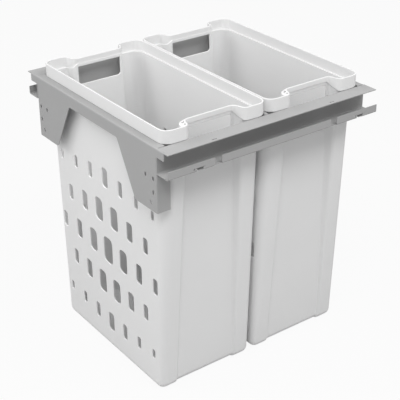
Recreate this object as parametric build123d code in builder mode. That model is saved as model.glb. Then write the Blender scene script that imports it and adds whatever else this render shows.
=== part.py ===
from build123d import *
from math import cos, radians, sin
import os

# A pull-out laundry basket: two perforated plastic baskets that hang in a folded steel frame.
# X runs across the cabinet, +Y goes into the cabinet and +Z is up, in millimetres.
# The origin is on the centre line, in the plane of the front plate's outer face,
# at the height where the side channels sit on the cabinet's runners.

os.makedirs("parts", exist_ok=True)

# Driving sizes of the steel frame
sheet = 1.5
inside_bend = 1.0
frame_width = 452.0
frame_depth = 450.0
channel_height = 45.0
opening_width = 388.0
opening_start = 17.6
opening_end = 436.2
lip_height = 15.0
lip_overrun = 4.5

# Driving sizes of the front plate
beam_height = 22.8
ear_width = 215.0
ear_height = 15.0
lug_drop = 117.0
lug_top_half = 78.0
lug_bottom_half = 129.0
return_depth = 26.5
lug_corner = 6.0

# Driving sizes of the two baskets, which are alike
wall = 3.0
front_basket_middle = 120.3
rear_basket_middle = 333.5
rim_half_x = 196.0
rim_half_y = 105.7
rim_corner = 19.0
rim_height = 24.0
band_height = 9.7
seat_gap = 0.3
ledge_rise = 4.0
basket_drop = 505.0
mouth_half_x = 191.0
foot_half_x = 164.0
long_wall_y = 101.5
mouth_corner = 24.0
foot_corner = 12.0
foot_round = 14.0
rim_edge_round = 1.0

# Recess in each short side, where a hand reaches the handle hole
band_half_x = 173.0
band_inner_edge = 49.5
band_outer_edge = 57.0
panel_top_x = 172.0
panel_foot_x = 160.0
panel_top_edges = (50.5, 57.0)
panel_foot_edges = (63.5, 67.0)
handle_width = 91.0
handle_top = 8.0
handle_bottom = -27.0
handle_corner = 6.5
climb_start = 58.5
climb_end = 44.5

# Heights above the runner seat
frame_top = channel_height
rim_seat = frame_top + seat_gap
rim_top = frame_top + rim_height
ledge_top = frame_top + ledge_rise
band_bottom = rim_top - band_height
band_ledge = band_bottom + 0.4
basket_foot = frame_top - basket_drop
web_half = opening_width / 2
frame_half = frame_width / 2
outside_bend = inside_bend + sheet


def folded_section(*points):
    """Section of folded sheet, from the outline of its outer skin, with the sheet on its left."""
    with BuildSketch(mode=Mode.PRIVATE) as section:
        with BuildLine():
            FilletPolyline(*points, radius=outside_bend)
            offset(amount=sheet, side=Side.LEFT)
        make_face()
    return section.sketch


# Right channel: a C section that opens outwards, with a lip along its lower edge
channel_skin = (
    (frame_half, frame_top),
    (web_half, frame_top),
    (web_half, 0),
    (frame_half, 0),
    (frame_half, lip_height),
)
ear_notch_depth = sheet + inside_bend + 1.7
ear_room = 0.1
lip_gap_width = 14.0
lip_gap_starts = (93.0, 344.5)
lip_gap_setback = 3.5
hook_places = (50.0, 401.0)
hook_window = (2.6, 4.2)
hook_window_foot = 3.4
hook_slot_start = 4.5
hook_slot_end = 19.5
hook_slot_height = 6.8
hook_notch_start = 7.5
hook_notch_width = 4.5
hook_notch_reach = 11.0
edge_slit_length = 10.4
edge_slit_width = 2.6
edge_slit_inset = 5.2
edge_slit_middles = (94.5, 348.5)

with BuildPart() as channel_right:
    with BuildSketch(Plane.XZ):
        add(folded_section(*channel_skin))
    extrude(amount=-(frame_depth + lip_overrun))
    # The top flange and the web end before the lip, and the lower flange runs out at a slant
    with BuildSketch(Plane.XY.offset(-1)):
        with BuildLine():
            Polyline(
                (web_half - 1, frame_depth),
                (web_half + sheet, frame_depth),
                (frame_half - sheet, frame_depth + lip_overrun),
                (frame_half - sheet, frame_depth + lip_overrun + 1),
                (web_half - 1, frame_depth + lip_overrun + 1),
                close=True,
            )
        make_face()
    extrude(amount=frame_top + 2, mode=Mode.SUBTRACT)
    with BuildSketch(Plane.XY.offset(lip_height + 1)):
        with Locations((web_half, frame_depth)):
            Rectangle(frame_half, 2 * lip_overrun, align=(Align.CENTER, Align.MIN))
    extrude(amount=frame_top, mode=Mode.SUBTRACT)
    # The front plate's ear stands in front of the top flange
    with BuildSketch(Plane.XY.offset(frame_top - ear_height - ear_room)):
        with Locations((web_half - 1, -1)):
            Rectangle(
                ear_width + ear_room - web_half + 1,
                ear_notch_depth + 1,
                align=(Align.MIN, Align.MIN),
            )
    extrude(amount=frame_top, mode=Mode.SUBTRACT)
    # Two gaps in the lip, where the lower flange is set back
    with BuildSketch(Plane.YZ.offset(frame_half - lip_gap_setback)):
        for gap_start in lip_gap_starts:
            gap_end = gap_start + lip_gap_width
            with BuildLine():
                FilletPolyline(
                    (gap_start - 2, -1),
                    (gap_end + 2, -1),
                    (gap_end + 2, 1),
                    (gap_end, 4),
                    (gap_end, lip_height + 1),
                    (gap_start, lip_height + 1),
                    (gap_start, 4),
                    (gap_start - 2, 1),
                    close=True,
                    radius=(0, 0, 1, 2, 0, 0, 2, 1),
                )
            make_face()
    extrude(amount=lip_gap_setback + 1, mode=Mode.SUBTRACT)
    # For each hook of the runner: a slot and a small window in the lip
    with BuildSketch(Plane.YZ.offset(frame_half - outside_bend)):
        for place in hook_places:
            with Locations((place, hook_window_foot)):
                Rectangle(*hook_window, align=(Align.MIN, Align.MIN))
            with BuildLine():
                FilletPolyline(
                    (place + hook_slot_start + 2, -1),
                    (place + hook_slot_end, -1),
                    (place + hook_slot_end, hook_slot_height - 1),
                    (place + hook_slot_end + 3.5, hook_slot_height - 1),
                    (place + hook_slot_end + 3.5, hook_slot_height),
                    (place + hook_slot_start, hook_slot_height),
                    close=True,
                    radius=(0, 0, 0, 0, 0, 1),
                )
            make_face()
    extrude(amount=outside_bend + 1, mode=Mode.SUBTRACT)
    # Behind each slot, a notch in the lower flange
    with BuildSketch(Plane.XY.offset(-1)):
        for place in hook_places:
            with Locations((frame_half - hook_notch_reach, place + hook_notch_start)):
                Rectangle(hook_notch_reach, hook_notch_width, align=(Align.MIN, Align.MIN))
    extrude(amount=sheet + 2, mode=Mode.SUBTRACT)
    # Slits beside the edge of the top flange
    with BuildSketch(Plane.XY.offset(frame_top - sheet - 1)):
        for slit_middle in edge_slit_middles:
            with Locations((frame_half - edge_slit_inset, slit_middle)):
                SlotOverall(edge_slit_length, edge_slit_width, rotation=90)
    extrude(amount=sheet + 2, mode=Mode.SUBTRACT)

with BuildPart() as channel_left:
    mirror(channel_right.part, about=Plane.YZ)

# Front plate: a beam with an ear at each end, two lugs below it and a strip folded back on top
lug_bottom = frame_top - lug_drop
beam_bottom = frame_top - beam_height
ear_bottom = frame_top - ear_height
return_top = frame_top - sheet - 1
strip_half = web_half - ear_room
slot_width = 4.5
slot_length = 8.0
outer_slots = ((184.0, frame_top - 57), (184.0, frame_top - 82), (162.0, frame_top - 57))
slanted_slot = (176.0, frame_top - 102)
slant = 38.0

with BuildPart() as front_plate:
    # The plate itself
    with BuildSketch(Plane.XZ):
        with BuildLine():
            FilletPolyline(
                (0, frame_top),
                (ear_width, frame_top),
                (ear_width, ear_bottom),
                (web_half, ear_bottom),
                (web_half, lug_bottom),
                (lug_bottom_half, lug_bottom),
                (lug_top_half, beam_bottom),
                (0, beam_bottom),
                close=True,
                radius=(0, 0, 1, 0, 0, lug_corner, lug_corner, 0),
            )
        make_face()
        mirror(about=Plane.YZ)
    extrude(amount=-sheet)
    # The strip folded back along the top, shorter behind the ears
    with BuildSketch(Plane.XY.offset(frame_top - sheet)):
        Rectangle(2 * strip_half, opening_start, align=(Align.CENTER, Align.MIN))
        Rectangle(2 * ear_width, ear_notch_depth - ear_room, align=(Align.CENTER, Align.MIN))
    extrude(amount=sheet)
    # The outer edge of each lug, folded back beside the channel's web
    with BuildSketch(Plane.XY.offset(lug_bottom)):
        with Locations((web_half, 0), (-web_half + sheet, 0)):
            Rectangle(sheet, return_depth, align=(Align.MAX, Align.MIN))
    extrude(amount=return_top - lug_bottom)
    long_folds = edges().filter_by(Axis.X).filter_by(lambda e: e.length > frame_width / 2)
    fillet(long_folds.group_by(Axis.Z)[-1].group_by(Axis.Y)[0], radius=outside_bend)
    # Rounded folds down the outer edges of the lugs, up to the ears
    with BuildSketch(Plane.XY.offset(lug_bottom - 1)):
        for side in (1, -1):
            with Locations((side * (web_half - outside_bend / 2), outside_bend / 2)):
                Rectangle(outside_bend + 0.02, outside_bend + 0.02)
        for side in (1, -1):
            with Locations((side * (web_half - outside_bend), outside_bend)):
                Circle(outside_bend, mode=Mode.SUBTRACT)
    extrude(amount=ear_bottom - lug_bottom + 1, mode=Mode.SUBTRACT)
    # Fixing slots in both lugs
    with BuildSketch(Plane.XZ):
        for side in (1, -1):
            for across, height in outer_slots:
                with Locations((side * across, height)):
                    SlotOverall(slot_length, slot_width, rotation=90)
            with Locations((side * slanted_slot[0], slanted_slot[1])):
                SlotOverall(slot_length, slot_width, rotation=90 + slant)
    extrude(amount=-sheet, mode=Mode.SUBTRACT)

# Rear plate: the same folded angle as the front beam, with a tab welded to each web
tab_length = 20.0
rear_strip = frame_depth - opening_end

with BuildPart() as rear_plate:
    with BuildSketch(Plane.YZ.offset(-strip_half)):
        add(
            folded_section(
                (frame_depth, beam_bottom),
                (frame_depth, frame_top),
                (opening_end, frame_top),
            )
        )
    extrude(amount=2 * strip_half)
    with BuildSketch(Plane.XY.offset(beam_bottom)):
        with Locations((web_half, frame_depth), (-web_half + sheet, frame_depth)):
            Rectangle(sheet, tab_length, align=(Align.MAX, Align.MAX))
    extrude(amount=return_top - beam_bottom)

# Crossbar between the baskets: a channel open at the bottom, welded between the webs
crossbar_width = 7.6
crossbar_height = 20.0
crossbar_middle = (front_basket_middle + rear_basket_middle) / 2

with BuildPart() as crossbar:
    with BuildSketch(Plane.YZ.offset(-web_half)):
        add(
            folded_section(
                (crossbar_middle + crossbar_width / 2, frame_top - crossbar_height),
                (crossbar_middle + crossbar_width / 2, frame_top),
                (crossbar_middle - crossbar_width / 2, frame_top),
                (crossbar_middle - crossbar_width / 2, frame_top - crossbar_height),
            )
        )
    extrude(amount=2 * web_half)


def recessed_outline(half_x, half_y, corner, panel_x, step_edges, step_rounds):
    """Plan outline of a basket: a rounded rectangle whose short sides are set back in the middle.

    Each step runs from step_edges[0] on the set-back panel to step_edges[1] on the outer wall,
    with step_rounds[0] in its hollow and step_rounds[1] on its crest.
    """
    inner, outer = step_edges
    hollow, crest = step_rounds
    quarter = [(panel_x, inner), (half_x, outer), (half_x, half_y)]
    rounds = [hollow, crest, corner]
    points = quarter
    points = points + [(-x, y) for x, y in reversed(quarter)]
    points = points + [(-x, -y) for x, y in quarter]
    points = points + [(x, -y) for x, y in reversed(quarter)]
    with BuildSketch(mode=Mode.PRIVATE) as outline:
        with BuildLine():
            FilletPolyline(*points, radius=(rounds + rounds[::-1]) * 2, close=True)
        make_face()
    return outline.sketch


def mix(top, foot, share):
    """A size part of the way down the basket, from its value at the mouth to that at the foot."""
    return top + (foot - top) * share


def wall_outline(height, inset=0.0, undercut=0.0):
    """Outline of the tapered wall at a height, a distance inside its outer face.

    The undercut draws it in further, for the rounded edge at the foot.
    """
    share = (frame_top - height) / basket_drop
    half_x = mix(mouth_half_x, foot_half_x, share)
    panel_x = mix(panel_top_x, panel_foot_x, share)
    inner = mix(panel_top_edges[0], panel_foot_edges[0], share)
    outer = mix(panel_top_edges[1], panel_foot_edges[1], share)
    slope = (half_x - panel_x) / (outer - inner)
    shift = inset * ((1 + slope**2) ** 0.5 - 1) / slope
    corner = mix(mouth_corner, foot_corner, share) - inset - 0.7 * undercut
    return recessed_outline(
        half_x - inset - undercut,
        long_wall_y - inset - undercut,
        max(corner, 2.0),
        panel_x - inset - undercut,
        (inner + shift, outer + shift),
        (mix(5, 4, share) + inset, max(mix(9, 4, share) - inset, 1.5)),
    )


def rim_outline(inset=0.0):
    """Outline of the upright rim, a distance inside its outer face."""
    slope = (rim_half_x - band_half_x) / (band_outer_edge - band_inner_edge)
    shift = inset * ((1 + slope**2) ** 0.5 - 1) / slope
    return recessed_outline(
        rim_half_x - inset,
        rim_half_y - inset,
        rim_corner - inset,
        band_half_x - inset,
        (band_inner_edge + shift, band_outer_edge + shift),
        (9 + inset, 11 - inset),
    )


def tapered_form(top, inset):
    """Solid bounded by the wall, with its foot rounded in steps."""
    foot = basket_foot + inset
    rounding = foot_round - inset
    angles = [0, 18, 36, 54, 72, 90]
    with BuildPart(mode=Mode.PRIVATE) as form:
        with BuildSketch(Plane.XY.offset(top)):
            add(wall_outline(top, inset))
        for angle in angles:
            height = foot + rounding * (1 - sin(radians(angle)))
            with BuildSketch(Plane.XY.offset(height)):
                add(wall_outline(height, inset, rounding * (1 - cos(radians(angle)))))
        loft(ruled=True)
    return form.part


def recess_bridge(low, high, reach):
    """Prism across both short sides: flat at high, sloping to low along the two steps."""
    far = climb_start + 10
    with BuildPart(mode=Mode.PRIVATE) as bridge:
        with BuildSketch(Plane.YZ.offset(-reach)):
            with BuildLine():
                FilletPolyline(
                    (-far, low - 2),
                    (-far, low),
                    (-climb_start, low),
                    (-climb_end, high),
                    (climb_end, high),
                    (climb_start, low),
                    (far, low),
                    (far, low - 2),
                    close=True,
                    radius=(0, 0, 8, 6, 6, 8, 0, 0),
                )
            make_face()
        extrude(amount=2 * reach)
    return bridge.part


# Air holes in both long walls: (width, height) of each hole, from the middle outwards
hole_corner_share = 0.33
middle_row = ((29.6, 53.2), (24.4, 46.0), (18.3, 39.2), (13.5, 31.6))
second_row = ((24.2, 45.8), (18.7, 38.8), (14.0, 31.5))
outer_row = ((18.5, 38.4), (13.3, 31.8), (10.6, 24.6), (8.3, 18.0))


def air_holes(holes, drop, side, pitch, stagger=0.0):
    """Outlines of one row of air holes, mirrored about the middle of the wall.

    The holes' lower edges (side 1), middles (0) or upper edges (-1) are level, a drop below the
    frame's top. The first hole stands a stagger times the pitch from the middle of the wall.
    """
    with BuildSketch(mode=Mode.PRIVATE) as row:
        for place, (width, height) in enumerate(holes):
            across = pitch * (place + stagger)
            level = frame_top - drop + side * height / 2
            with Locations(*sorted({(across, level), (-across, level)})):
                RectangleRounded(width, height, hole_corner_share * width)
    return row.sketch


# Seat in the rim at the near step of the right-hand recess: a small block with two pockets
seat_top = rim_top - 0.4
seat_height = 10.0
seat_outline = (
    (171.5, -43.0),
    (171.5, -50.6),
    (194.5, -58.1),
    (194.5, -70.0),
    (184.5, -69.0),
    (176.5, -62.5),
    (170.5, -46.5),
)
seat_rounds = (0, 9.5, 9.5, 0, 6, 6, 0)
deep_pocket = ((174.8, -50.8), (179.8, -53.0), (183.2, -61.6), (179.4, -60.4))
shallow_pocket = ((184.2, -54.6), (189.6, -57.4), (190.2, -62.4), (186.8, -61.6))
deep = 8.0
shallow = 3.5

# One basket, centred on its own middle
outer_wall = tapered_form(band_ledge + 1, 0)
hollow = tapered_form(band_ledge + 1, wall)
under_band = recess_bridge(rim_seat, band_bottom, frame_half)
ledge_bridge = recess_bridge(ledge_top, band_ledge, frame_half)

with BuildPart(mode=Mode.PRIVATE) as rim_hollow:
    with BuildSketch(Plane.XY.offset(ledge_top)):
        add(rim_outline(wall))
    extrude(amount=rim_height)
    add(ledge_bridge, mode=Mode.SUBTRACT)

with BuildPart() as basket:
    with BuildSketch(Plane.XY.offset(rim_seat)):
        add(rim_outline())
    extrude(amount=rim_top - rim_seat)
    add(under_band, mode=Mode.SUBTRACT)
    add(outer_wall)
    add(rim_hollow.part, mode=Mode.SUBTRACT)
    add(hollow, mode=Mode.SUBTRACT)

    # Handle holes through the recessed panels
    with BuildSketch(Plane.YZ.offset(-frame_half)):
        with BuildLine():
            FilletPolyline(
                (-handle_width / 2, frame_top + handle_top),
                (-handle_width / 2, frame_top + handle_bottom),
                (handle_width / 2, frame_top + handle_bottom),
                (handle_width / 2, frame_top + handle_top),
                close=True,
                radius=(0.8, handle_corner, handle_corner, 0.8),
            )
        make_face()
    extrude(amount=frame_width, mode=Mode.SUBTRACT)
    # Air holes, five staggered rows through both long walls
    with BuildSketch(Plane.XZ.offset(-frame_width / 4)):
        add(air_holes(outer_row, drop=155.7, side=1, pitch=50.0))
        add(air_holes(second_row, drop=232.8, side=1, pitch=50.2, stagger=0.5))
        add(air_holes(middle_row, drop=285.9, side=0, pitch=51.0))
        add(air_holes(second_row, drop=340.4, side=-1, pitch=48.2, stagger=0.5))
        add(air_holes(outer_row, drop=424.3, side=-1, pitch=47.6))
    extrude(amount=frame_width / 2, mode=Mode.SUBTRACT)
    # Rounded upper edge of the rim
    fillet(edges().group_by(Axis.Z)[-1], radius=rim_edge_round)
    # The seat and its pockets
    with BuildSketch(Plane.XY.offset(seat_top)):
        with BuildLine():
            FilletPolyline(*seat_outline, radius=seat_rounds, close=True)
        make_face()
    extrude(amount=-seat_height)
    for outline, depth in ((deep_pocket, deep), (shallow_pocket, shallow)):
        with BuildSketch(Plane.XY.offset(seat_top)):
            with BuildLine():
                Polyline(*outline, close=True)
            make_face()
        extrude(amount=-depth, mode=Mode.SUBTRACT)

with BuildPart() as basket_front:
    with Locations((0, front_basket_middle, 0)):
        add(basket.part)

with BuildPart() as basket_rear:
    with Locations((0, rear_basket_middle, 0)):
        add(basket.part)

for piece, name in (
    (front_plate, "front_plate"),
    (rear_plate, "rear_plate"),
    (crossbar, "crossbar"),
    (channel_left, "channel_left"),
    (channel_right, "channel_right"),
    (basket_front, "basket_front"),
    (basket_rear, "basket_rear"),
):
    piece.part.label = name
    export_step(piece.part, f"parts/{name}.step")
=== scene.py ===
# %% [markdown]
# # A pull-out laundry basket
#
# Two light grey plastic baskets hang by their rims in a folded steel frame.
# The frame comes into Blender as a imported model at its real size, in metres. X runs across the
# cabinet, Y goes into it and Z is up. The steel sheets keep their shape and get finished edges
# and a powder coat. The baskets are modelled here, because moulded plastic is all soft
# roundings and those want a clean mesh.

from math import atan2, cos, hypot, pi, radians, sin, tan

import bmesh
import bpy
from mathutils import Matrix, Vector


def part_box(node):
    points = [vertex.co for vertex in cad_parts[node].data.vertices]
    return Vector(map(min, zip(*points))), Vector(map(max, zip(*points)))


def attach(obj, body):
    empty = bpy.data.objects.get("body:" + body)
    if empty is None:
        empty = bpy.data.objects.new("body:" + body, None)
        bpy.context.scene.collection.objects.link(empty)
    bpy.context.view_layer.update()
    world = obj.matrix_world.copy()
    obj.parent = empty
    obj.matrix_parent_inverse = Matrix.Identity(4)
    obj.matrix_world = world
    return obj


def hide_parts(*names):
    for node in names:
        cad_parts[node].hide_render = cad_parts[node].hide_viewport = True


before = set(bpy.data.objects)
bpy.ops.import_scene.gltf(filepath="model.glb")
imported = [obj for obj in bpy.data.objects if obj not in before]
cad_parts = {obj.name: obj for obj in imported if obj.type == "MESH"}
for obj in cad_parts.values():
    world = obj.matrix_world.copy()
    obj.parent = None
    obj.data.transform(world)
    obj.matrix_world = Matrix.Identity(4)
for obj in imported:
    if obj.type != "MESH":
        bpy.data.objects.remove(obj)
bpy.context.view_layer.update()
print("nodes:", sorted(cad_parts))

# %% [markdown]
# ## Sizes that the frame already knows
#
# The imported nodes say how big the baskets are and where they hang. Reading those corners keeps
# every new piece in step with the frame, so only the sizes that no box can show are written out
# below. They are in millimetres, turned to metres by `mm`.

# %% Read the places and outer sizes
mm = 0.001

basket_low, basket_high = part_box("basket_front")
rear_low, rear_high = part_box("basket_rear")
frame_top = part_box("front_plate")[1].z
basket_foot = basket_low.z
rim_top = basket_high.z
rim_half_x = (basket_high.x - basket_low.x) / 2
rim_half_y = (basket_high.y - basket_low.y) / 2
front_middle = (basket_high.y + basket_low.y) / 2
rear_middle = (rear_high.y + rear_low.y) / 2
print(f"rim {2 * rim_half_x / mm:.0f} x {2 * rim_half_y / mm:.0f} mm")
print(f"basket {(rim_top - basket_foot) / mm:.0f} mm tall")
print(f"middles at y {front_middle:.4f} and {rear_middle:.4f}")

# %% [markdown]
# ## The camera
#
# The photograph looks down on the near right corner of the frame with a long lens. The camera
# is set by the direction it looks from, as a compass turn and a height above the horizon, and
# by the place where it stands. A small shift of the lens sets the object a little high in the
# picture without tilting the view.

# %% Choose the lens and the place
picture_side = 400
lens_in_pixels = 1036.3
sensor_width = 36.0
camera_turn = radians(53.65)
camera_height = radians(27.14)
camera_roll = radians(-0.23)
camera_place = Vector((1.41374, -0.81184, 0.73999))
picture_middle = 180
print("camera stands at", [round(place, 3) for place in camera_place])

# %% [markdown]
# The lens is given in pixels, as it was worked out from the picture, so it is turned into
# millimetres on the sensor. The three directions across, above and toward the camera are built
# from the two angles and a slight roll, and together they make the camera's rotation.

# %% Set the camera
camera_data = bpy.data.cameras.new("photo_camera")
camera_data.sensor_width = sensor_width
camera_data.lens = lens_in_pixels / picture_side * sensor_width
camera_data.shift_y = picture_middle / picture_side - 0.5
camera = bpy.data.objects.new("photo_camera", camera_data)
bpy.context.scene.collection.objects.link(camera)

toward_camera = Vector((
    sin(camera_turn) * cos(camera_height),
    -cos(camera_turn) * cos(camera_height),
    sin(camera_height),
))
level = Vector((cos(camera_turn), sin(camera_turn), 0))
upward = toward_camera.cross(level)
across = level * cos(camera_roll) + upward * sin(camera_roll)
above = toward_camera.cross(across)
turned = Matrix((across, above, toward_camera)).transposed()
camera.matrix_world = Matrix.Translation(camera_place) @ turned.to_4x4()
bpy.context.scene.camera = camera
print(f"lens {camera_data.lens:.1f} mm, shift {camera_data.shift_y:.3f}")

# %% [markdown]
# ## Light and floor
#
# A product picture like this one is lit from all round, on a white ground. The room gives about
# half of the light. Five soft lamps give the rest and shape the object: two in front, a smaller
# one high over the near corner, one high on the right and a weak one behind it. The lamps on the
# right have to be high, because the open side of the channel is dark in the photograph: only a
# high lamp lets its flange shade its own web.

# %% Write a helper for a soft lamp
aim = Vector((0, (front_middle + rear_middle) / 2, -0.15))


def add_lamp(name, turn, height, distance, size, power):
    """A square soft lamp that looks at the object from a compass turn and a height, in degrees."""
    lamp_data = bpy.data.lights.new(name, "AREA")
    lamp_data.size = size
    lamp_data.energy = power
    lamp = bpy.data.objects.new(name, lamp_data)
    bpy.context.scene.collection.objects.link(lamp)
    turn, height = radians(turn), radians(height)
    away = Vector((sin(turn) * cos(height), -cos(turn) * cos(height), sin(height)))
    lamp.location = aim + away * distance
    lamp.rotation_euler = away.to_track_quat("Z", "Y").to_euler()
    print(f"{name}: {power} W, {size} m square")

# %% [markdown]
# All lamps stand at the same distance and look at the middle of the baskets. Each line below
# says where a lamp stands, how large it is, which sets how soft its shadows are, and its power.

# %% Add the lamps
lamp_distance = 2.6
add_lamp("left_lamp", -30, 40, lamp_distance, 1.0, 13.5)
add_lamp("front_lamp", 0, 30, lamp_distance, 1.6, 11)
add_lamp("near_lamp", 50, 50, lamp_distance, 0.8, 18)
add_lamp("right_lamp", 110, 55, lamp_distance, 1.0, 19.5)
add_lamp("back_lamp", 150, 50, lamp_distance, 1.6, 6.5)

# %% [markdown]
# The world gives the weak light from all round. Where the camera or a reflection looks straight
# at it, it is plain white at a strength of one, so the ground can be white without putting more
# light on the object.

# %% Set the world
room_strength = 0.54
ground_strength = 1.0
white = (1, 1, 1, 1)

scene_world = bpy.data.worlds.new("studio")
bpy.context.scene.world = scene_world
scene_world.use_nodes = True
surround = scene_world.node_tree
surround.nodes.clear()
world_output = surround.nodes.new("ShaderNodeOutputWorld")
world_mix = surround.nodes.new("ShaderNodeMixShader")
room_light = surround.nodes.new("ShaderNodeBackground")
white_ground = surround.nodes.new("ShaderNodeBackground")
ray = surround.nodes.new("ShaderNodeLightPath")
seen = surround.nodes.new("ShaderNodeMath")
seen_mirrored = surround.nodes.new("ShaderNodeMath")
seen.operation = seen_mirrored.operation = "MAXIMUM"
room_light.inputs["Color"].default_value = white
room_light.inputs["Strength"].default_value = room_strength
white_ground.inputs["Color"].default_value = white
white_ground.inputs["Strength"].default_value = ground_strength
surround.links.new(ray.outputs["Is Camera Ray"], seen.inputs[0])
surround.links.new(ray.outputs["Is Glossy Ray"], seen.inputs[1])
surround.links.new(seen.outputs[0], seen_mirrored.inputs[0])
surround.links.new(ray.outputs["Is Transmission Ray"], seen_mirrored.inputs[1])
surround.links.new(seen_mirrored.outputs[0], world_mix.inputs["Fac"])
surround.links.new(room_light.outputs[0], world_mix.inputs[1])
surround.links.new(white_ground.outputs[0], world_mix.inputs[2])
surround.links.new(world_mix.outputs[0], world_output.inputs["Surface"])
print("room light:", room_strength)

# %% [markdown]
# The floor is one large flat square, just under the feet of the baskets. It is only there to
# catch their shadow.

# %% Lay the floor
floor_gap = 0.5 * mm
floor_half = 9.0

floor_shape = bmesh.new()
bmesh.ops.create_grid(floor_shape, x_segments=1, y_segments=1, size=floor_half)
bmesh.ops.translate(floor_shape, verts=floor_shape.verts, vec=(0, 0, basket_foot - floor_gap))
floor_mesh = bpy.data.meshes.new("floor")
floor_shape.to_mesh(floor_mesh)
floor_shape.free()
floor = bpy.data.objects.new("floor", floor_mesh)
bpy.context.scene.collection.objects.link(floor)
print(f"floor at z {basket_foot - floor_gap:.4f}")

# %% [markdown]
# The floor's own colour is a middle grey, so that it doesn't throw much light up at the baskets.
# Most of what the camera sees on it is plain white and the rest is that shaded colour, so it
# looks pale and still shows a faint shadow.

# %% Paint the floor
whitening = 0.93
floor_tone = (0.5, 0.5, 0.5, 1)

floor_paint = bpy.data.materials.new("floor_paint")
floor_paint.use_nodes = True
floor_nodes = floor_paint.node_tree
floor_nodes.nodes.clear()
floor_output = floor_nodes.nodes.new("ShaderNodeOutputMaterial")
floor_mix = floor_nodes.nodes.new("ShaderNodeMixShader")
floor_shade = floor_nodes.nodes.new("ShaderNodeBsdfDiffuse")
floor_white = floor_nodes.nodes.new("ShaderNodeEmission")
floor_ray = floor_nodes.nodes.new("ShaderNodeLightPath")
floor_share = floor_nodes.nodes.new("ShaderNodeMath")
floor_share.operation = "MULTIPLY"
floor_share.inputs[1].default_value = whitening
floor_shade.inputs["Color"].default_value = floor_tone
floor_nodes.links.new(floor_ray.outputs["Is Camera Ray"], floor_share.inputs[0])
floor_nodes.links.new(floor_share.outputs[0], floor_mix.inputs["Fac"])
floor_nodes.links.new(floor_shade.outputs[0], floor_mix.inputs[1])
floor_nodes.links.new(floor_white.outputs[0], floor_mix.inputs[2])
floor_nodes.links.new(floor_mix.outputs[0], floor_output.inputs["Surface"])
floor_mesh.materials.append(floor_paint)
print(f"the camera sees the floor {whitening:.0%} white")

# %% [markdown]
# The standard view shows each colour as it is written, without the soft highlights of a film.
# So the greys of the photograph can be matched number for number.

# %% Show colours as they are written
bpy.context.scene.view_settings.view_transform = "Standard"
print("view:", bpy.context.scene.view_settings.view_transform)

# %% [markdown]
# ## Shared surface effects
#
# Plastic and powder coat are both made in a fine relief, and both get a tone of their own along
# their edges: on the plastic a painted shade that dims their highlights, on the steel a painted
# highlight together with some real wear. So each of these effects is a node group, built once, and
# a material uses it with its own values. One helper makes an empty group with its named sockets.

# %% Write a helper for node groups
def new_group(name, inputs, outputs):
    """An empty shader node group with named sockets; returns it with its two end nodes."""
    group = bpy.data.node_groups.new(name, "ShaderNodeTree")
    for socket_name, kind, value in inputs:
        socket = group.interface.new_socket(name=socket_name, in_out="INPUT", socket_type=kind)
        if value is not None:
            socket.default_value = value
    for socket_name in outputs:
        group.interface.new_socket(name=socket_name, in_out="OUTPUT", socket_type="NodeSocketFloat")
    print("node group:", name)
    return group, group.nodes.new("NodeGroupInput"), group.nodes.new("NodeGroupOutput")

# %% [markdown]
# No moulded or sprayed surface is quite even. `fine_grain` takes two noise textures: a fine one
# for the relief that a finger can feel, and a slow one for a drift of tone from one place to the
# next.

# %% Build the grain
grain_group, grain_in, grain_out = new_group(
    "fine_grain",
    [
        ("Place", "NodeSocketVector", None),
        ("Grain per metre", "NodeSocketFloat", 900.0),
        ("Drift per metre", "NodeSocketFloat", 9.0),
    ],
    ["Relief", "Tone"],
)
relief = grain_group.nodes.new("ShaderNodeTexNoise")
relief.inputs["Detail"].default_value = 3.0
drift = grain_group.nodes.new("ShaderNodeTexNoise")
drift.inputs["Detail"].default_value = 4.0
drift.inputs["Roughness"].default_value = 0.55
for texture, scale_name in ((relief, "Grain per metre"), (drift, "Drift per metre")):
    grain_group.links.new(grain_in.outputs["Place"], texture.inputs["Vector"])
    grain_group.links.new(grain_in.outputs[scale_name], texture.inputs["Scale"])
grain_group.links.new(relief.outputs["Fac"], grain_out.inputs["Relief"])
grain_group.links.new(drift.outputs["Fac"], grain_out.inputs["Tone"])

# %% [markdown]
# This group finds the edges, where the plastic gets a painted shade and the steel a painted
# highlight together with some real wear. It compares the true surface with one whose edges are
# rounded: where the two directions disagree, there is an edge. A noise texture then breaks the line
# up, so that the painted light and the wear are not even.

# %% Build the edge mask for painted light and wear
flat_agreement = 1.0
edge_agreement = 0.8
patch_low = 0.35
patch_high = 0.65

painted_light_and_wear_group, painted_light_and_wear_in, painted_light_and_wear_out = new_group(
    "painted_light_and_wear_on_edges",
    [
        ("Place", "NodeSocketVector", None),
        ("Width", "NodeSocketFloat", 0.0012),
        ("Break up per metre", "NodeSocketFloat", 160.0),
    ],
    ["Edge"],
)
rounded = painted_light_and_wear_group.nodes.new("ShaderNodeBevel")
rounded.samples = 6
surface = painted_light_and_wear_group.nodes.new("ShaderNodeNewGeometry")
agreement = painted_light_and_wear_group.nodes.new("ShaderNodeVectorMath")
agreement.operation = "DOT_PRODUCT"
edge_range = painted_light_and_wear_group.nodes.new("ShaderNodeMapRange")
edge_range.inputs["From Min"].default_value = flat_agreement
edge_range.inputs["From Max"].default_value = edge_agreement
patches = painted_light_and_wear_group.nodes.new("ShaderNodeTexNoise")
patches.inputs["Detail"].default_value = 3.0
patch_range = painted_light_and_wear_group.nodes.new("ShaderNodeMapRange")
patch_range.inputs["From Min"].default_value = patch_low
patch_range.inputs["From Max"].default_value = patch_high
edge_product = painted_light_and_wear_group.nodes.new("ShaderNodeMath")
edge_product.operation = "MULTIPLY"
painted_light_and_wear_group.links.new(painted_light_and_wear_in.outputs["Width"], rounded.inputs["Radius"])
painted_light_and_wear_group.links.new(rounded.outputs["Normal"], agreement.inputs[0])
painted_light_and_wear_group.links.new(surface.outputs["Normal"], agreement.inputs[1])
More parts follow.
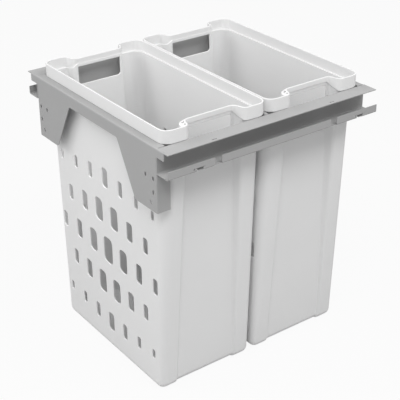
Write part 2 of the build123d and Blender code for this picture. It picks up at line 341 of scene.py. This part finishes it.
painted_light_and_wear_group.links.new(agreement.outputs["Value"], edge_range.inputs["Value"])
painted_light_and_wear_group.links.new(painted_light_and_wear_in.outputs["Place"], patches.inputs["Vector"])
painted_light_and_wear_group.links.new(painted_light_and_wear_in.outputs["Break up per metre"], patches.inputs["Scale"])
painted_light_and_wear_group.links.new(patches.outputs["Fac"], patch_range.inputs["Value"])
painted_light_and_wear_group.links.new(edge_range.outputs["Result"], edge_product.inputs[0])
painted_light_and_wear_group.links.new(patch_range.outputs["Result"], edge_product.inputs[1])
painted_light_and_wear_group.links.new(edge_product.outputs[0], painted_light_and_wear_out.inputs["Edge"])

# %% [markdown]
# ## The two finishes
#
# A finish starts with a plain colour. The grain's slow drift makes it a touch lighter and darker
# from place to place, its relief gives a fine bump, and the edges take a tone of their own, which
# is painted light: a painted shade on the plastic, a painted highlight with some wear on the steel.
# One helper wires this up for any finish. The shine is the same all over a finish, so it is set on
# the shader itself.

# %% Write a helper for a finish
bump_strength = 0.6


def add_finish(name, dark, pale, edge, roughness, shine, grain, relief_depth, painted_light_and_wear_width):
    """A finish whose tone drifts from dark to pale, with an edge tone of painted light, plus wear
    on the steel, and a fine relief.
    """
    finish = bpy.data.materials.new(name)
    finish.use_nodes = True
    nodes, links = finish.node_tree.nodes, finish.node_tree.links
    shader = nodes["Principled BSDF"]
    shader.inputs["Specular IOR Level"].default_value = shine
    place = nodes.new("ShaderNodeTexCoord")
    grain_node = nodes.new("ShaderNodeGroup")
    grain_node.node_tree = grain_group
    grain_node.inputs["Grain per metre"].default_value = grain
    painted_light_and_wear_node = nodes.new("ShaderNodeGroup")
    painted_light_and_wear_node.node_tree = painted_light_and_wear_group
    painted_light_and_wear_node.inputs["Width"].default_value = painted_light_and_wear_width
    for group_node in (grain_node, painted_light_and_wear_node):
        links.new(place.outputs["Object"], group_node.inputs["Place"])

    tone = nodes.new("ShaderNodeMix")
    tone.data_type = "RGBA"
    tone.inputs["A"].default_value = (*dark, 1)
    tone.inputs["B"].default_value = (*pale, 1)
    links.new(grain_node.outputs["Tone"], tone.inputs["Factor"])
    # The edge tone is painted light: on the plastic a painted shade that dims its edge highlights,
    # on the steel a painted highlight together with some real wear.
    painted_light_and_wear_tone = nodes.new("ShaderNodeMix")
    painted_light_and_wear_tone.data_type = "RGBA"
    painted_light_and_wear_tone.inputs["B"].default_value = (*edge, 1)
    links.new(painted_light_and_wear_node.outputs["Edge"], painted_light_and_wear_tone.inputs["Factor"])
    links.new(tone.outputs["Result"], painted_light_and_wear_tone.inputs["A"])
    links.new(painted_light_and_wear_tone.outputs["Result"], shader.inputs["Base Color"])

    gloss = nodes.new("ShaderNodeMapRange")
    gloss.inputs["To Min"].default_value = roughness[0]
    gloss.inputs["To Max"].default_value = roughness[1]
    links.new(grain_node.outputs["Tone"], gloss.inputs["Value"])
    links.new(gloss.outputs["Result"], shader.inputs["Roughness"])

    bump = nodes.new("ShaderNodeBump")
    bump.inputs["Strength"].default_value = bump_strength
    bump.inputs["Distance"].default_value = relief_depth
    links.new(grain_node.outputs["Relief"], bump.inputs["Height"])
    links.new(bump.outputs["Normal"], shader.inputs["Normal"])
    print("finish:", name)
    return finish

# %% [markdown]
# The moulded plastic is satin with a fine spark-eroded texture, and its edges get a painted shade
# that dims the highlights on its roundings. The powder coat on the steel is matt, so it mirrors
# less of the room, and has the slight orange peel of baked paint. Its edges are paler, partly from
# a thinner, worn coat there and partly as a painted highlight.

# %% Mix the two finishes
plastic = add_finish(
    "satin_plastic",
    dark=(0.765, 0.765, 0.765),
    pale=(0.795, 0.795, 0.795),
    # painted shade on the plastic's edges, to dim their highlights
    edge=(0.62, 0.62, 0.62),
    roughness=(0.46, 0.58),
    shine=0.35,
    grain=1400.0,
    relief_depth=0.03 * mm,
    painted_light_and_wear_width=1.2 * mm,
)
powder_coat = add_finish(
    "powder_coat",
    dark=(0.37, 0.37, 0.37),
    pale=(0.395, 0.395, 0.395),
    # paler edges: partly a thinner, worn coat and partly a painted highlight
    edge=(0.46, 0.46, 0.46),
    roughness=(0.50, 0.62),
    shine=0.2,
    grain=700.0,
    relief_depth=0.05 * mm,
    painted_light_and_wear_width=0.6 * mm,
)

# %% [markdown]
# ## Helpers for pieces
#
# Steel or plastic, every piece goes through the same last steps: its mesh gets one finish and
# goes into the scene, its shading is made smooth except over real edges, and where an edge is
# still sharp, a small bevel rounds it. These helpers do that.

# %% Write the helpers for pieces
def show(name, mesh, finish):
    """Puts a mesh in the scene as a piece with one finish."""
    mesh.materials.clear()
    mesh.materials.append(finish)
    piece = bpy.data.objects.new(name, mesh)
    bpy.context.scene.collection.objects.link(piece)
    return piece


def smooth(mesh, angle):
    """Smooth shading, except across edges that turn by more than an angle in degrees."""
    if "custom_normal" in mesh.attributes:
        mesh.attributes.remove(mesh.attributes["custom_normal"])
    mesh.shade_smooth()
    mesh.set_sharp_from_angle(angle=radians(angle))


def round_edges(piece, width, sharper_than, steps):
    """Rounds every edge that turns by more than an angle in degrees."""
    bevel = piece.modifiers.new("rounded_edges", "BEVEL")
    bevel.width = width
    bevel.segments = steps
    bevel.limit_method = "ANGLE"
    bevel.angle_limit = radians(sharper_than)


def even_shading(piece):
    """Lets the large faces lead the shading, so that small roundings don't tint them."""
    even = piece.modifiers.new("even_shading", "WEIGHTED_NORMAL")
    even.keep_sharp = True

# %% [markdown]
# ## The steel sheets
#
# The frame is five folded sheets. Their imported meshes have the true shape, but as loose flat
# triangles with knife-sharp edges. A copy of each is welded together, its flat faces are joined
# back into whole ones, and a small bevel takes the sharpness off every cut edge, as deburring
# and a coat of powder do on the real sheets.

# %% Finish the sheets
weld_distance = 0.002 * mm
flat_within = 1
sheet_edge = 0.2 * mm
sheet_edge_steps = 2
sheet_sharp = 35
sheet_names = ("front_plate", "rear_plate", "crossbar", "channel_left", "channel_right")

for sheet_name in sheet_names:
    sheet_shape = bmesh.new()
    sheet_shape.from_mesh(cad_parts[sheet_name].data)
    bmesh.ops.remove_doubles(sheet_shape, verts=sheet_shape.verts, dist=weld_distance)
    bmesh.ops.dissolve_limit(
        sheet_shape,
        angle_limit=radians(flat_within),
        verts=sheet_shape.verts,
        edges=sheet_shape.edges,
    )
    sheet_mesh = bpy.data.meshes.new(sheet_name + "_sheet")
    sheet_shape.to_mesh(sheet_mesh)
    print(sheet_name, "faces:", len(sheet_shape.faces))
    sheet_shape.free()
    smooth(sheet_mesh, sheet_sharp)
    sheet_piece = show(sheet_name + "_sheet", sheet_mesh, powder_coat)
    round_edges(sheet_piece, sheet_edge, sheet_sharp, sheet_edge_steps)
    even_shading(sheet_piece)
    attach(sheet_piece, "carrier")
    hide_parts(sheet_name)

# %% [markdown]
# ## The plan of a basket
#
# Seen from above, a basket is a rounded rectangle whose two short sides are set back in the
# middle, to make room for a hand. Every level of it has the same twelve corners, only moved and
# rounded differently. So one helper makes a level: it lays the twelve corners down as a face,
# rounds them with a vertex bevel and keeps the edges. As each corner always gets the same number
# of steps, all levels have matching points, and the skin between two of them is a clean row of
# four-sided faces.

# %% Make one level of the basket
round_steps = {"corner": 8, "crest": 5, "hollow": 5}


def recessed_corners(half_x, half_y, panel_x, inner, outer):
    """The twelve corners of a plan. Each step runs from inner on the panel to outer."""
    quarter = [(panel_x, inner), (half_x, outer), (half_x, half_y)]
    half = quarter + [(-x, y) for x, y in reversed(quarter)]
    return half + [(-x, -y) for x, y in half]


def add_level(shape, plan, rounds, height):
    """One closed loop of edges round the basket. height(y) gives its height at each place."""
    half_x, half_y, panel_x, inner, outer = plan
    kinds = ("hollow", "crest", "corner", "corner", "crest", "hollow") * 2
    corners = [shape.verts.new((x, y, 0)) for x, y in recessed_corners(*plan)]
    shape.faces.new(corners)
    step_turn = atan2(half_x - panel_x, outer - inner)
    for kind, steps in round_steps.items():
        turn = pi / 2 if kind == "corner" else step_turn
        bmesh.ops.bevel(
            shape,
            geom=[corner for corner, of_kind in zip(corners, kinds) if of_kind == kind],
            affect="VERTICES",
            offset=rounds[kind] * tan(turn / 2),
            offset_type="ABSOLUTE",
            segments=steps,
            profile=0.5,
            material=-1,
        )
    outline = list(shape.faces)[0]
    loop = list(outline.edges)
    for vert in outline.verts:
        vert.co.z = height(vert.co.y)
    bmesh.ops.delete(shape, geom=[outline], context="FACES_ONLY")
    return loop


print("corner steps:", round_steps)

# %% [markdown]
# The short sides taper from the mouth to the foot, so that the basket comes out of its mould and
# stacks. The long sides are built upright. So the plan at any height is a mix of the two ends.
# Insets give the inner faces, one wall thickness in from the outer ones.
#
# Each pair of sizes below holds for the mouth and for the foot. The step is the slanting face
# between a set-back panel and the corner post beside it. It has a hollow edge on the panel and a
# crest on the post.

# %% Work out the plan of the wall
wall = 3.0 * mm
long_wall_y = 101.5 * mm
basket_drop = frame_top - basket_foot
least_round = 1.5 * mm
wall_half_x = (191, 164)
wall_panel_x = (172, 160)
step_start = (50.5, 63.5)
step_end = (57, 67)
corner_round = (24, 12)
crest_round = (9, 4)
hollow_round = (5, 4)
corner_follow = 0.7


def mix(top, foot, share):
    """A size in millimetres, part of the way down from the mouth to the foot, in metres."""
    return (top + (foot - top) * share) * mm


def side_shift(inset, half_x, panel_x, inner, outer):
    """How far a step moves along the side when its face moves in by an inset."""
    slope = (half_x - panel_x) / (outer - inner)
    return inset * (hypot(1, slope) - 1) / slope


def wall_plan(height, inset=0.0, undercut=0.0):
    """Plan and roundings of the tapered wall. The undercut draws it in for the rounded foot."""
    share = (frame_top - height) / basket_drop
    half_x, panel_x = mix(*wall_half_x, share), mix(*wall_panel_x, share)
    inner, outer = mix(*step_start, share), mix(*step_end, share)
    shift = side_shift(inset, half_x, panel_x, inner, outer)
    drawn = inset + undercut
    plan = (half_x - drawn, long_wall_y - drawn, panel_x - drawn, inner + shift, outer + shift)
    rounds = {
        "corner": max(mix(*corner_round, share) - inset - corner_follow * undercut, least_round),
        "crest": max(mix(*crest_round, share) - inset, least_round),
        "hollow": mix(*hollow_round, share) + inset,
    }
    return plan, rounds


print(f"the wall hangs {basket_drop / mm:.0f} mm below the frame's top")

# %% [markdown]
# The rim stands a little proud of the wall, so that it can rest on the frame. It doesn't taper,
# so its plan needs only one set of sizes, and an inset for its inner face.

# %% Work out the plan of the rim
rim_panel_x = 173 * mm
rim_step_start = 49.5 * mm
rim_step_end = 57 * mm
rim_corner = 19 * mm
rim_crest = 11 * mm
rim_hollow = 9 * mm


def rim_plan(inset=0.0):
    """Plan and roundings of the upright rim."""
    shift = side_shift(inset, rim_half_x, rim_panel_x, rim_step_start, rim_step_end)
    plan = (
        rim_half_x - inset,
        rim_half_y - inset,
        rim_panel_x - inset,
        rim_step_start + shift,
        rim_step_end + shift,
    )
    rounds = {
        "corner": rim_corner - inset,
        "crest": rim_crest - inset,
        "hollow": rim_hollow + inset,
    }
    return plan, rounds


print(f"the rim's recess is {2 * rim_step_start / mm:.0f} mm wide at its back")

# %% [markdown]
# ## The skin of a basket
#
# The skin is followed like a thread, from the middle of the foot up the outside, under the
# skirt of the rim, over its top, down to the ledge inside and back down the inner wall. Over the
# set-back sides the skirt is cut short to a narrow band, so there the levels climb in a soft
# slope. Three small helpers give the height of a level and the angles of a rounding.

# %% Write the helpers for the section
rim_seat = frame_top + 0.3 * mm
ledge_top = frame_top + 4 * mm
band_bottom = rim_top - 9.7 * mm
band_ledge = band_bottom + 0.4 * mm
climb_start = 58.5 * mm
climb_end = 44.5 * mm


def flat(height):
    """A level that is the same all the way round."""
    return lambda y: height


def climbing(low, high, lift=0.0):
    """A level that climbs from low to high over the set-back sides."""
    def height(y):
        along = min(max((climb_start - abs(y)) / (climb_start - climb_end), 0), 1)
        return low + (high - low) * along * along * (3 - 2 * along) + lift
    return height


def quarter_turn(steps):
    """Sine and cosine of even angles from 0 to 90 degrees."""
    return [(sin(pi / 2 * n / steps), cos(pi / 2 * n / steps)) for n in range(steps + 1)]


print(f"the skirt is {(rim_top - rim_seat) / mm:.1f} mm tall,", end=" ")
print(f"the band {(rim_top - band_bottom) / mm:.1f} mm")

# %% [markdown]
# The outside comes first: the rounded foot, the underside of the skirt, its lower edge and the
# outer edge of the rim. No face between two levels is quite level itself: a slight fall tells
# the bridge which way it leads, and a real mould has one too.

# %% Follow the outside
foot_round = 14 * mm
foot_steps = 6
rim_edge = 1.0 * mm
skirt_edge = 0.8 * mm
edge_steps = 3
fall = 0.05 * mm

outside = []
for s, c in reversed(quarter_turn(foot_steps)):
    height = basket_foot + foot_round * (1 - s)
    outside.append((*wall_plan(height, undercut=foot_round * (1 - c)), flat(height)))
outside.append((*wall_plan(rim_seat), climbing(rim_seat, band_bottom)))
for s, c in reversed(quarter_turn(edge_steps)):
    lift = skirt_edge * (1 - s) - fall
    outside.append((*rim_plan(skirt_edge * (1 - c)), climbing(rim_seat, band_bottom, lift)))
for s, c in quarter_turn(edge_steps):
    outside.append((*rim_plan(rim_edge * (1 - c)), flat(rim_top - rim_edge * (1 - s))))
print("levels on the outside:", len(outside))

# %% [markdown]
# The inside follows it one wall thickness in. Where the upright rim is wider than the wall, it
# leaves a ledge all round, a little above the frame's top.

# %% Follow the inside
inner_round = foot_round - wall
ledge_edge = 0.5 * mm
ledge_steps = 2

inside = []
for s, c in reversed(quarter_turn(foot_steps)):
    height = basket_foot + wall + inner_round * (1 - s)
    inside.append((*wall_plan(height, wall, inner_round * (1 - c)), flat(height)))
for s, c in quarter_turn(ledge_steps):
    lift = -ledge_edge * (1 - s)
    inset = wall - ledge_edge * (1 - c)
    inside.append((*wall_plan(ledge_top, inset), climbing(ledge_top, band_ledge, lift)))
inside.append((*rim_plan(wall), climbing(ledge_top, band_ledge, fall)))
for s, c in quarter_turn(edge_steps):
    inset = wall - rim_edge * (1 - c)
    inside.append((*rim_plan(inset), flat(rim_top - rim_edge * (1 - s) - fall)))
section = outside + inside[::-1]
print("levels in the whole section:", len(section))

# %% [markdown]
# Two neighbouring levels are joined with a bridge, and the ends of the section are closed with
# a face each, which are the floor's two sides. The tall wall is divided into ten courses,
# because the set-back step twists a little on its way down.

# %% Skin the basket
courses = 10
tall = 300 * mm

basket_shape = bmesh.new()
loops = [add_level(basket_shape, *level_data) for level_data in section]
for lower, upper in zip(loops, loops[1:]):
    skin = bmesh.ops.bridge_loops(basket_shape, edges=lower + upper)
    upright = [edge for edge in skin["edges"] if edge.calc_length() > tall]
    if upright:
        bmesh.ops.subdivide_edges(
            basket_shape, edges=upright, cuts=courses - 1, use_grid_fill=True
        )
for end in (loops[0], loops[-1]):
    bmesh.ops.edgeloop_fill(basket_shape, edges=end)
print("faces of the skin:", len(basket_shape.faces))

# %% [markdown]
# The perforated long walls are flat, so their courses are joined again: a whole flat face is the
# best start for cutting holes. The count of open edges and the volume then show whether the skin
# is closed and right side out.

# %% Make the perforated walls whole
def on_long_wall(edge):
    """True for an edge that crosses a flat long wall at one height, between its two ends."""
    low, high = basket_foot + foot_round + mm, frame_top - mm
    a, b = edge.verts[0].co, edge.verts[1].co
    return abs(a.y - b.y) < 0.01 * mm and abs(a.x - b.x) > tall / 2 and low < a.z < high


crossing = [edge for edge in basket_shape.edges if on_long_wall(edge)]
bmesh.ops.dissolve_edges(basket_shape, edges=crossing, use_verts=False)
bmesh.ops.recalc_face_normals(basket_shape, faces=basket_shape.faces)
open_edges = sum(not edge.is_manifold for edge in basket_shape.edges)
print(f"{len(basket_shape.faces)} faces, {open_edges} open edges")
print(f"{basket_shape.calc_volume() * 1e6:.0f} cm3 of plastic before the holes")

# %% [markdown]
# ## Holes in the baskets
#
# In the mould, every hole is made by a core that goes right through the wall. Here a straight
# bar with rounded corners does the same: one long bar cuts the same hole in both walls. A helper
# lays an outline down as a face, rounds its corners with a vertex bevel and pulls it out.

# %% Write a helper for a bar
corner_segments = 5


def add_bar(shape, corners, roundings, depth):
    """A straight bar: a flat outline, some corners rounded, pulled out by a depth.

    A rounding says how far before the corner it starts, which at a square corner is its radius.
    """
    verts = [shape.verts.new(corner) for corner in corners]
    base = shape.faces.new(verts)
    for size in sorted(set(roundings) - {0}):
        rounded_corners = bmesh.ops.bevel(
            shape,
            geom=[vert for vert, rounding in zip(verts, roundings) if rounding == size],
            affect="VERTICES",
            offset=size,
            offset_type="ABSOLUTE",
            segments=corner_segments,
            profile=0.5,
            material=-1,
        )
        base = rounded_corners["verts"][0].link_faces[0]
    pulled = bmesh.ops.extrude_face_region(shape, geom=[base])
    moved = [item for item in pulled["geom"] if isinstance(item, bmesh.types.BMVert)]
    bmesh.ops.translate(shape, verts=moved, vec=depth)


print("segments in a bar's corner:", corner_segments)

# %% [markdown]
# Five staggered rows of air holes go through both long walls, largest in the middle and smaller
# towards the sides, top and foot. Laundry has to breathe, and holes that shrink towards the
# edges keep the wall stiff there. The tables give the sizes of the holes from the middle
# outwards, as width and height, and the place of each row.

# %% Set out the air holes
hole_round_share = 0.33
middle_row = ((29.6, 53.2), (24.4, 46.0), (18.3, 39.2), (13.5, 31.6))
second_row = ((24.2, 45.8), (18.7, 38.8), (14.0, 31.5))
outer_row = ((18.5, 38.4), (13.3, 31.8), (10.6, 24.6), (8.3, 18.0))
# Each row: sizes from the middle outwards, how far below the frame's top its even edge lies,
# whether that edge is the lower one (1), the middle (0) or the upper one (-1), the pitch of its
# holes and how many pitches its first hole stands from the middle
air_rows = (
    (outer_row, 155.7, 1, 50.0, 0.0),
    (second_row, 232.8, 1, 50.2, 0.5),
    (middle_row, 285.9, 0, 51.0, 0.0),
    (second_row, 340.4, -1, 48.2, 0.5),
    (outer_row, 424.3, -1, 47.6, 0.0),
)
print("rows of air holes:", len(air_rows))

# %% [markdown]
# Every hole has a twin on the other side of the middle, except the one in the middle itself. A
# set of the two places holds just one of them there, so no hole is cut twice.

# %% Shape the bars for the air holes
bar_reach = 120 * mm

bars = bmesh.new()
hole_count = 0
for sizes, drop, hang, pitch, stagger in air_rows:
    for place, (width, height) in enumerate(sizes):
        middle_z = frame_top - drop * mm + hang * height * mm / 2
        half_width, half_height = width * mm / 2, height * mm / 2
        offset = pitch * mm * (place + stagger)
        for middle_x in sorted({offset, -offset}):
            corners = [
                (middle_x + sx * half_width, -bar_reach, middle_z + sz * half_height)
                for sx, sz in ((1, 1), (-1, 1), (-1, -1), (1, -1))
            ]
            add_bar(bars, corners, [hole_round_share * width * mm] * 4, (0, 2 * bar_reach, 0))
            hole_count += 1
print("air holes through each long wall:", hole_count)

# %% [markdown]
# Each set-back side has a handle hole right under its band, with rounded lower corners. One bar
# cuts both.

# %% Shape the bar for the handle holes
handle_half = 45.5 * mm
handle_top = frame_top + 8 * mm
handle_bottom = frame_top - 27 * mm
handle_corner = 6.5 * mm
handle_top_corner = 0.8 * mm
handle_corners = [
    (-rim_half_x, -handle_half, handle_top),
    (-rim_half_x, -handle_half, handle_bottom),
    (-rim_half_x, handle_half, handle_bottom),
    (-rim_half_x, handle_half, handle_top),
]
handle_rounds = [handle_top_corner, handle_corner, handle_corner, handle_top_corner]
add_bar(bars, handle_corners, handle_rounds, (2 * rim_half_x, 0, 0))
print(f"handle hole: {2 * handle_half / mm:.0f} x {(handle_top - handle_bottom) / mm:.0f} mm")

# %% [markdown]
# The bars are cut out in one go, and a bevel then rounds the lips of the holes, which is what
# catches the light on a real moulding. Cutting is a modifier's work, so the shapes become
# objects for a moment. The finished mesh is read back and the spare objects are removed.

# %% Write a helper for cutting
sharp_lip = 62


def to_object(name, shape):
    """Turns a bmesh into an object in the scene."""
    bmesh.ops.recalc_face_normals(shape, faces=shape.faces)
    mesh = bpy.data.meshes.new(name)
    shape.to_mesh(mesh)
    shape.free()
    thing = bpy.data.objects.new(name, mesh)
    bpy.context.scene.collection.objects.link(thing)
    return thing


def cut_and_round(name, blank_shape, bar_shape, lip, steps):
    """Cuts bars out of a blank and rounds all its sharp edges; returns the finished mesh."""
    blank = to_object(name + "_blank", blank_shape)
    cutter = to_object(name + "_bars", bar_shape)
    cut = blank.modifiers.new("holes", "BOOLEAN")
    cut.object = cutter
    cut.operation = "DIFFERENCE"
    cut.solver = "EXACT"
    lips = blank.modifiers.new("lips", "BEVEL")
    lips.width = lip
    lips.segments = steps
    lips.limit_method = "ANGLE"
    lips.angle_limit = radians(sharp_lip)
    lips.use_clamp_overlap = False
    done = blank.evaluated_get(bpy.context.evaluated_depsgraph_get())
    mesh = bpy.data.meshes.new_from_object(done)
    for spare in (blank, cutter):
        bpy.data.objects.remove(spare)
    print("finished", name + ":", len(mesh.polygons), "faces")
    return mesh

# %% [markdown]
# The skin is cut with all its bars at once. Its lips are about as round as the edge of the rim,
# as they would be in one mould.

# %% Cut the holes of the basket
hole_lip = 1.0 * mm
hole_lip_steps = 3
skin_mesh = cut_and_round("skin", basket_shape, bars, hole_lip, hole_lip_steps)

# %% [markdown]
# ## The seat in the rim
#
# At the near step of its right-hand recess, the rim is filled in to a small block with a deep and
# a shallow pocket in its top. It looks like the seat for the hinge of a lid. It is made by itself
# and reaches into the rim, so the two close up without a seam. Each line of its outline is a
# corner across and along the basket, and how far before that corner its rounding starts.

# %% Set out the seat and its pockets
seat_height = 10 * mm
seat_top = rim_top - 0.4 * mm
seat_outline = (
    (171.5, -43.0, 0),
    (171.5, -50.6, 7.0),
    (194.5, -58.1, 6.8),
    (194.5, -70.0, 0),
    (184.5, -69.0, 4.0),
    (176.5, -62.5, 4.0),
    (170.5, -46.5, 0),
)
pockets = (
    (8.0, ((174.8, -50.8), (179.8, -53.0), (183.2, -61.6), (179.4, -60.4))),
    (3.5, ((184.2, -54.6), (189.6, -57.4), (190.2, -62.4), (186.8, -61.6))),
)
print("pockets of the seat, in mm deep:", [depth for depth, outline in pockets])

# %% [markdown]
# The block is a bar like those that cut the holes, and so are the two that cut its pockets. They
# start above its top, because a cut whose end lies right in a face is never clean.

# %% Shape the seat
pocket_corner = 1.0 * mm
pocket_start = 1.0
seat_lip = 0.3 * mm
seat_lip_steps = 2

seat_shape = bmesh.new()
corners = [(x * mm, y * mm, seat_top) for x, y, rounding in seat_outline]
rounds = [rounding * mm for x, y, rounding in seat_outline]
add_bar(seat_shape, corners, rounds, (0, 0, -seat_height))
pocket_bars = bmesh.new()
for depth, outline in pockets:
    corners = [(x * mm, y * mm, seat_top - depth * mm) for x, y in outline]
    add_bar(pocket_bars, corners, [pocket_corner] * 4, (0, 0, (depth + pocket_start) * mm))
seat_mesh = cut_and_round("seat", seat_shape, pocket_bars, seat_lip, seat_lip_steps)

# %% [markdown]
# The seat only has to look like one moulding with the rim. Its hidden faces lie inside the rim's
# walls, so the two meshes are simply put into one, which keeps both of them clean.

# %% Put the basket together
basket_sharp = 40

moulding_shape = bmesh.new()
for part_mesh in (skin_mesh, seat_mesh):
    moulding_shape.from_mesh(part_mesh)
basket_mesh = bpy.data.meshes.new("basket")
moulding_shape.to_mesh(basket_mesh)
moulding_shape.free()
smooth(basket_mesh, basket_sharp)
print("whole basket:", len(basket_mesh.polygons), "faces")

# %% [markdown]
# ## Two baskets in the frame
#
# Both baskets come from one mould, so the second is a copy of the first, moved back. Each rides
# on a body of its own, because each can be lifted out of the frame by itself.

# %% Hang the baskets
for name, middle in (("basket_front", front_middle), ("basket_rear", rear_middle)):
    moulding = basket_mesh.copy()
    moulding.name = name + "_moulding"
    moulding.transform(Matrix.Translation((0, middle, 0)))
    piece = show(name + "_moulding", moulding, plastic)
    even_shading(piece)
    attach(piece, name.split("_")[1] + "_basket")
    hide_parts(name)
    print(piece.name, "at y", round(middle, 4))
